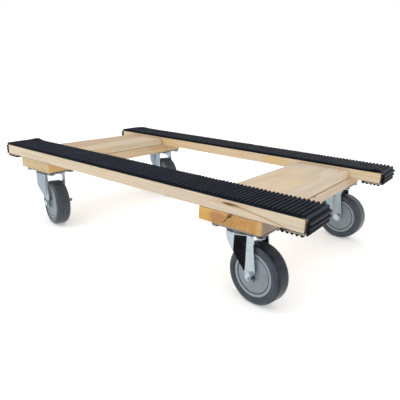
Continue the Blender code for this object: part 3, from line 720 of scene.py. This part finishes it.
def pad(node, rail, lifts, seed):
    """A ribbed rubber strip wrapped over a rail, lifted off the wood where lifts say.

    Each lift is (x, height, width, y share at its middle, y width): a low bulge in the top sheet.
    """
    rail_low, rail_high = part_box(rail)
    line, distances = pad_line(rail_low, rail_high)
    total = distances[-1]
    ribs = int(total / RIB_PITCH)
    margin = (total - ribs * RIB_PITCH) / 2
    stops = [margin + (rib + phase) * RIB_PITCH for rib in range(ribs) for phase in RIB_PHASES]
    stops.append(total - margin)
    rows, heights = [], []
    index = 0
    for stop in stops:
        while index < len(distances) - 2 and distances[index + 1] < stop:
            index += 1
        share = (stop - distances[index]) / (distances[index + 1] - distances[index])
        point = line[index][0].lerp(line[index + 1][0], share)
        normal = line[index][1].lerp(line[index + 1][1], share).normalized()
        phase = ((stop - margin) / RIB_PITCH) % 1.0
        number = floor((stop - margin) / RIB_PITCH + 0.0001)
        flank = min(1.0, max(0.0, (1 - abs(2 * phase - 1) - 0.16) / 0.56))
        tooth = flank * flank * (3 - 2 * flank)
        tooth *= 0.93 + 0.14 * noise.noise((number * 0.71, seed, 3.3))
        outer, inner = [], []
        for share in ACROSS:
            y = rail_low.y + (rail_high.y - rail_low.y) * share
            lift = 0.0
            if normal.y > 0.3:
                for x, height, width, middle, spread in lifts:
                    lift += height * swell(point.x, x, width) * swell(share, middle, spread)
            end_bulge = 0.0016 * abs(normal.x) ** 3
            loose = 0.00022 * (1 + noise.noise((point.x * 21, y * 32, point.y * 21 + seed)))
            inward = 0.0005 if share in (0.0, 1.0) else 0.0
            shift = 0.0006 * noise.noise((point.x * 16, y * 24, seed)) * (1 - abs(normal.x))
            base = point + normal * (lift + end_bulge + loose)
            rise = PAD_BASE + (RIB_HEIGHT - 0.0001) * tooth * (0.94 if share in (0.0, 1.0) else 1.0)
            top = base + normal * (rise - inward) + Vector((shift, 0)) * tooth
            outer.append(Vector((top.x, y, top.y)))
            inner.append(Vector((base.x, y, base.y)))
        rows.append(outer + inner[::-1])
        heights += [tooth] * len(outer) + [0.0] * len(inner)
    mesh = new_mesh(node + "_matting", *capped(rows), MAT, 50)
    mesh.attributes.new("rib_height", "FLOAT", "POINT").data.foreach_set("value", heights)
    return piece(node + "_matting", mesh, Matrix.Identity(4), "frame", [node])


NEAR_LIFTS = ((-0.372, 0.0032, 0.013, 0.93, 0.24), (-0.366, 0.0016, 0.020, 0.45, 0.30))
FAR_LIFTS = ((0.369, 0.0030, 0.010, 0.06, 0.42), (-0.366, 0.0028, 0.016, 0.55, 0.50))
pad("near_rubber_pad", "near_rail", NEAR_LIFTS, 1.7)
pad("far_rubber_pad", "far_rail", FAR_LIFTS, 8.2)


# --- caster pieces, each about its kingpin ---------------------------------
FORK_BEND = 0.0038
BEND_STEPS = 5
LIP_ANGLE = radians(44)     # from the back of the crown: the low lip ends here
TURN_IN = radians(96)       # and here the crown's round turns in to the legs
CROWN_STEPS = 27
SHOULDER_STEPS = 8
FOOT_STEPS = 18
FRONT_STEPS = 12
PLATE_CORNER_STEPS = 8
HOLE_STEPS = 24
ROUND_SIDES = 60            # of bolts, nuts and screws; a multiple of six
THREAD_PITCH = 0.00125
NUT_MIDDLE = 0.0033         # from the nut's face


def fork_side():
    """Stations down one side of the fork: (crown x, crown y, foot x, foot y, foot z)."""
    stations = []
    for i in range(CROWN_STEPS):
        turn = TURN_IN * (i + 0.5) / (CROWN_STEPS - 0.5)
        x, y = -FORK_ROUND * cos(turn), FORK_ROUND * sin(turn)
        low = FORK_TOP - FORK_LIP
        if turn > LIP_ANGLE:
            low -= FORK_SHOULDER * ((turn - LIP_ANGLE) / (TURN_IN - LIP_ANGLE)) ** 1.25
        stations.append((x, y, x, y, low))
    start_x, start_y, start_z = stations[-1][2:]
    end_z = WHEEL_RADIUS + 0.0035
    for i in range(1, SHOULDER_STEPS + 1):
        share = 0.92 * i / SHOULDER_STEPS
        x = start_x + (FORK_STRIP - start_x) * share
        y = start_y + (FORK_HALF - start_y) * share
        stations.append((x, y, x, y, start_z + (end_z - start_z) * share))
    strip_start = FORK_STRIP + 0.0012
    for i in range(FOOT_STEPS + 1):
        turn = pi + pi * i / FOOT_STEPS
        crown_x = strip_start + (FORK_BACK - strip_start) * i / FOOT_STEPS
        stations.append((crown_x, FORK_HALF, TRAIL + FORK_FOOT * cos(turn), FORK_HALF,
                         WHEEL_RADIUS + FORK_FOOT * sin(turn)))
    return stations


def fork_mesh():
    """The pressed fork: crown with a rolled edge and the kingpin's hole, and two legs."""
    side = fork_side()
    stations = [(x, -y, fx, -fy, z) for x, y, fx, fy, z in reversed(side)] + side
    rows = []
    for crown_x, crown_y, foot_x, foot_y, foot_z in stations:
        inward = Vector((-crown_x, -crown_y)).normalized()
        if crown_x > 0 and abs(crown_y) <= FORK_HALF + 0.0001:
            inward = Vector((0.0, -1.0 if crown_y > 0 else 1.0))
        low = Vector((foot_x, foot_y, foot_z))
        high = Vector((crown_x, crown_y, FORK_TOP - FORK_BEND))
        row = [low, low.lerp(high, 0.3), low.lerp(high, 0.65), high]
        for i in range(1, BEND_STEPS + 1):
            turn = i / BEND_STEPS * pi / 2
            shift = FORK_BEND * (1 - cos(turn)) * inward
            row.append(Vector((crown_x + shift.x, crown_y + shift.y, high.z + FORK_BEND * sin(turn))))
        rows.append(row)
    points, faces = rows_to_faces(rows, False, False)
    rim = [(i + 1) * len(rows[0]) - 1 for i in range(len(rows))]
    front = [points[rim[-1]].lerp(points[rim[0]], i / FRONT_STEPS) for i in range(1, FRONT_STEPS)]
    rim += range(len(points), len(points) + len(front))
    points += front
    hole = [len(points) + i for i in range(len(rim))]
    points += [Vector((*(KINGPIN_HOLE * points[i].xy.normalized()), FORK_TOP)) for i in rim]
    following = [*range(1, len(rim)), 0]
    faces += [(rim[i], rim[j], hole[j], hole[i]) for i, j in enumerate(following)]
    mesh = new_mesh("fork_sheet", points, faces, ZINC, 25)
    made = modified("fork_pressing", mesh, ("SOLIDIFY", {"thickness": STEEL, "offset": 1.0}))
    made.shade_smooth()
    made.set_sharp_from_angle(angle=radians(22))
    return made


def hex_rows(low, high, both=False):
    """Rings of a hexagon between two heights, chamfered at the second or at both."""
    flat = HEX_ACROSS / 2

    def ring(height, limit, cut):
        row = []
        for i in range(ROUND_SIDES):
            turn = 2 * pi * i / ROUND_SIDES
            folded = (turn + pi / 6) % (pi / 3) - pi / 6
            radius = min(flat / cos(folded), limit)
            row.append((radius * cos(turn), radius * sin(turn), height + cut * (flat / cos(folded) - flat)))
        return row

    face, corners = flat * 0.94, flat * 1.2
    chamfer = 0.55 if high > low else -0.55
    start = [ring(low, face, 0), ring(low, corners, chamfer)] if both else [ring(low, corners, 0)]
    return start + [ring(high, corners, -chamfer), ring(high, face, 0)]


def threaded(radius, start, stop):
    """(radius, height) points of a threaded length, as closely spaced ridges."""
    profile = []
    turns = round((stop - start) / THREAD_PITCH)
    for i in range(turns):
        base = start + (stop - start) * i / turns
        profile += [(radius * 0.88, base), (radius, base + THREAD_PITCH * 0.5)]
    return profile + [(radius * 0.86, stop)]


def bolt_mesh(name, head, radius, length, plain, washer, material):
    """Flanged hex bolt: head below z = 0, shank above, threaded beyond the plain length."""
    under_head, flange = -0.0001, HEX_ACROSS * 0.60
    profile = [(flange, -washer), (flange, under_head), (radius, under_head), (radius, plain)]
    profile += threaded(radius, plain + 0.0003, length)
    rows = hex_rows(-washer, -head)[::-1] + [circle(r, h, ROUND_SIDES) for r, h in profile]
    return new_mesh(name, *capped([row[::-1] for row in rows]), material, 30)


def nut_mesh():
    """Lock nut with a round collar beyond the hexagon."""
    bore = 0.0043
    profile = [(0.0057, 0.0018), (0.0056, 0.0028), (0.0050, NUT_MIDDLE), (bore, NUT_MIDDLE),
               (bore, -NUT_MIDDLE)]
    rows = hex_rows(-NUT_MIDDLE, 0.0017, both=True) + [circle(r, h, ROUND_SIDES) for r, h in profile]
    return new_mesh("axle_lock_nut", *rows_to_faces([row[::-1] for row in rows], True, True), BOLT, 30)


def plate_mesh():
    """Top plate with round corners, rolled edges, four screw holes and the kingpin's hole."""
    roll, corner, screw_hole = 0.0005, 0.0055, 0.0049
    low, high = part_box("front_near_top_plate")
    size, kingpin = high - low, (low + high) / 2
    curve = bpy.data.curves.new("plate_outline", "CURVE")
    curve.dimensions = "2D"
    curve.fill_mode = "BOTH"
    curve.bevel_depth = roll
    curve.bevel_resolution = 2
    curve.extrude = size.z / 2 - roll
    outline = []
    for quarter, (sx, sy) in enumerate(SIGNS):
        for i in range(PLATE_CORNER_STEPS + 1):
            turn = (quarter + i / PLATE_CORNER_STEPS) * pi / 2
            outline.append((sx * (size.x / 2 - roll - corner) + corner * cos(turn),
                            sy * (size.y / 2 - roll - corner) + corner * sin(turn)))
    centres = [(0.0, 0.0, KINGPIN_HOLE)]
    for number in (1, 2, 3, 4):
        a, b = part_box(f"front_near_lag_screw_{number}")
        centres.append((*((a + b).xy / 2 - kingpin.xy), screw_hole))
    holes = [[(x + u, y + v) for u, v, _ in circle(radius, 0, HOLE_STEPS)] for x, y, radius in centres]
    for ring in (outline, *holes):
        spline = curve.splines.new("POLY")
        spline.points.add(len(ring) - 1)
        for target, (x, y) in zip(spline.points, ring):
            target.co = (x, y, 0.0, 1.0)
        spline.use_cyclic_u = True
    made = modified("plate_pressing", curve)
    made.materials.clear()
    made.materials.append(PLATE)
    made.shade_smooth()
    made.set_sharp_from_angle(angle=radians(35))
    return made


def both_sides(side):
    """A profile from one side of a wheel, mirrored to the other."""
    return side + [(radius, -height) for radius, height in reversed(side)]


def hub_mesh():
    """Wheel centre: boss, flat disc, a fine groove and a raised ring at the rim, on both sides."""
    side = [(0.0066, 0.0172), (0.0070, 0.0174), *arc((0.0099, 0.0168), 0.0006, 90, 0, 3),
            (0.0112, 0.0140), (0.0120, 0.0136), (0.0300, 0.0134), (0.0306, 0.0131), (0.0310, 0.0114),
            (0.0317, 0.0114), (0.0320, 0.0136), (0.0325, 0.0142), (0.0334, 0.0144), (0.0362, 0.0144),
            *arc((0.0362, 0.0140), 0.0006, 90, 0, 3)]
    return turned("wheel_centre", both_sides(side), 96, HUB, 30)


def tyre_mesh():
    """Tread with a gently crowned running face, round shoulders and a small bead by the hub."""
    half, shoulder = 0.0161, 0.0070
    side = [(0.0371, 0.0120), (0.0371, 0.0136), (0.0377, 0.0142), (0.0388, 0.0147), (0.0402, 0.0153),
            (0.0420, 0.0159), *arc((WHEEL_RADIUS - shoulder, half - shoulder), shoulder, 82, 8, 10),
            (WHEEL_RADIUS, 0.0060), (WHEEL_RADIUS, 0.0006)]
    return turned("wheel_tread", both_sides(side), 128, DARK_TREAD, 40)


def race_mesh():
    """Pressed race: an upper and a lower ring with the narrow ball gap between them."""
    low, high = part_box("front_near_swivel_race")
    middle = (low.z + high.z) / 2
    profile = [(0.0056, high.z), (0.0305, high.z), (0.0318, high.z - 0.0004), (0.0322, high.z - 0.0010),
               (0.0318, middle + 0.0003), (0.0296, middle + 0.0002), (0.0296, middle - 0.0002),
               (0.0316, middle - 0.0003), (0.0320, low.z + 0.0007), (0.0312, low.z + 0.0001),
               (0.0300, low.z), (0.0056, low.z)]
    return turned("ball_race", profile[::-1], 96, PLATE, 35)


def kingpin_mesh():
    """Kingpin with a domed head under the fork's crown."""
    crown = FORK_TOP - STEEL - CLEARANCE
    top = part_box("front_near_kingpin")[1].z
    profile = [(0, crown - 0.0030), (0.0030, crown - 0.0030), (0.0045, crown - 0.0028),
               (0.0070, crown - 0.0023), (0.0086, crown - 0.0014), (0.0092, crown - 0.0003),
               (0.0091, crown), (0.0052, crown), (0.0052, top), (0, top)]
    return turned("kingpin_rivet", profile, 48, BOLT, 35)


def bushing_mesh():
    """Tube between the fork's legs that the wheel runs on."""
    half = FORK_HALF - STEEL - CLEARANCE
    profile = [(0.0043, half), (0.0043, -half), (0.0060, -half), (0.0062, -half + 0.0002),
               (0.0062, half - 0.0002), (0.0060, half)]
    return turned("axle_bushing_tube", profile, 48, BOLT, 35)


def build_casters():
    """All pieces of the four casters, turned about their kingpins as the frame's axles say."""
    axle = Matrix.Translation((TRAIL, 0, WHEEL_RADIUS)) @ Matrix.Rotation(-pi / 2, 4, "X")
    low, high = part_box("front_near_top_plate")
    screw_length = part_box("front_near_lag_screw_1")[1].z - low.z
    screw = bolt_mesh("plate_lag_screw", 0.0032, 0.0038, screw_length, 0.004, 0.0009, LAG)
    width, outside = 2 * FORK_HALF, FORK_HALF + CLEARANCE
    bolt = bolt_mesh("axle_hex_bolt", 0.0053, 0.0040, width + 0.0158, width - 0.004, 0.0008, BOLT)
    turning = {     # node: (mesh, slot, place about the kingpin, body)
        "swivel_race": (race_mesh(), "zinc_plate", Matrix.Identity(4), "frame"),
        "kingpin": (kingpin_mesh(), "fastener_steel", Matrix.Identity(4), "frame"),
        "fork": (fork_mesh(), "zinc_plate", Matrix.Identity(4), "caster_fork"),
        "axle_bolt": (bolt, "fastener_steel", axle @ Matrix.Translation((0, 0, -outside)), "caster_fork"),
        "axle_nut": (nut_mesh(), "fastener_steel",
                     axle @ Matrix.Translation((0, 0, outside + NUT_MIDDLE)), "caster_fork"),
        "axle_bushing": (bushing_mesh(), "fastener_steel", axle, "caster_fork"),
        "wheel_hub": (hub_mesh(), "hub_plastic", axle, "wheel"),
        "tyre": (tyre_mesh(), "tread_rubber", axle, "wheel"),
    }
    joints = {joint["name"]: joint for joint in frame["joints"]}
    plate = plate_mesh()
    duller_and_shaded = {}     # the forks and treads of the other three corners: darker forks as painted shade, dustier treads
    for kind, material in (("fork", WORN_SHADED_ZINC), ("tyre", TREAD)):
        duller_and_shaded[kind] = turning[kind][0].copy()
        duller_and_shaded[kind].materials[0] = material
    for corner in CORNERS:
        spin = joints[corner + "_wheel_spin"]["axis"]
        kingpin = joints[corner + "_swivel"]["pos_m"]
        foot = Matrix.Translation((kingpin[0], kingpin[1], 0))
        swivel = foot @ Matrix.Rotation(atan2(-spin[0], spin[1]), 4, "Z")
        for kind, (mesh, slot, place, body) in turning.items():
            on = body if body == "frame" else f"{corner}_{body}"
            own = duller_and_shaded[kind] if kind in duller_and_shaded and corner != "front_near" else mesh
            piece(f"{corner}_{mesh.name}", own, swivel @ place, on, [f"{corner}_{kind}"])
        middle = foot @ Matrix.Translation((0, 0, (low.z + high.z) / 2))
        piece(corner + "_plate_pressing", plate, middle, "frame", [corner + "_top_plate"])
        for number in (1, 2, 3, 4):
            a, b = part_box(f"{corner}_lag_screw_{number}")
            turn = Matrix.Rotation(radians(17 + 31 * number + 7 * len(corner)), 4, "Z")
            under = Matrix.Translation((*((a + b).xy / 2), low.z - CLEARANCE))
            piece(f"{corner}_plate_lag_screw_{number}", screw, under @ turn, "frame",
                  [f"{corner}_lag_screw_{number}"])


build_casters()


# --- floor, light and camera -----------------------------------------------
def card(name, corners, material):
    """One flat face in the scene, with one material."""
    mesh = bpy.data.meshes.new(name)
    mesh.from_pydata(corners, [], [(0, 1, 2, 3)])
    mesh.materials.append(material)
    obj = shown(name, mesh)
    return obj


def soft_light(name, place, size, power, colour=(1.0, 1.0, 1.0)):
    """A square lamp that faces the object."""
    light = bpy.data.lights.new(name, "AREA")
    light.shape = "RECTANGLE"
    light.size = size
    light.size_y = size
    light.energy = power
    light.color = colour
    obj = shown(name, light)
    obj.location = place
    obj.rotation_euler = (Vector(LIGHTS_AIM) - Vector(place)).to_track_quat("-Z", "Y").to_euler()


FLOOR = 14.0
WHITE = (1.0, 1.0, 1.0, 1.0)
LIGHTS_AIM = (0.0, 0.0, 0.1)
FLAG_CORNERS = [(0.24, -0.27, 0.002), (0.10, -1.50, 0.002), (1.60, -1.50, 0.002), (1.25, -0.27, 0.002)]

floor_shade = Shade("pale_floor", 0.75)
tone = floor_shade.noise((3, 3, 3), detail=3.0)
pale = floor_shade.finish(floor_shade.mix(tone, (0.90, 0.90, 0.90), (0.93, 0.93, 0.93)))
floor_shade.set("Emission Color", WHITE)
floor_shade.set("Emission Strength", 0.26)
floor_shade.set("Specular IOR Level", 0.1)
card("studio_floor", [(-FLOOR, -FLOOR, 0), (FLOOR, -FLOOR, 0), (FLOOR, FLOOR, 0), (-FLOOR, FLOOR, 0)], pale)

# A dark card that only reflections see: the front near fork mirrors it.
dark_shade = Shade("dark_card", 1.0)
dark_shade.set("Specular IOR Level", 0.0)
tone = dark_shade.noise((2, 2, 2))
dark = dark_shade.finish(dark_shade.mix(tone, (0.012, 0.013, 0.015), (0.018, 0.020, 0.022)))
flag = card("dark_flag", FLAG_CORNERS, dark)
for ray in ("camera", "diffuse", "shadow", "transmission", "volume_scatter"):
    setattr(flag, "visible_" + ray, False)

world = bpy.data.worlds.new("studio")
bpy.context.scene.world = world
world.use_nodes = True
sky = world.node_tree.nodes["Background"].inputs
sky["Color"].default_value = WHITE
sky["Strength"].default_value = 1.0
soft_light("key", (-0.9, -1.6, 1.7), 1.3, 9, (1.0, 0.985, 0.965))
soft_light("fill", (1.9, -0.9, 1.1), 1.2, 3, (0.96, 0.98, 1.0))
soft_light("top", (0.0, 0.5, 2.1), 1.6, 4)

camera_data = bpy.data.cameras.new("camera")
camera_data.lens = 37.563
camera_data.sensor_width = 36.0
camera_data.shift_x = 0.02473
camera_data.shift_y = -0.00394
camera = shown("camera", camera_data)
camera.location = (0.58278, -0.74956, 0.35896)
camera.rotation_euler = (radians(72.836), radians(-2.089), radians(38.246))
bpy.context.scene.camera = camera
bpy.context.scene.view_settings.view_transform = "Standard"
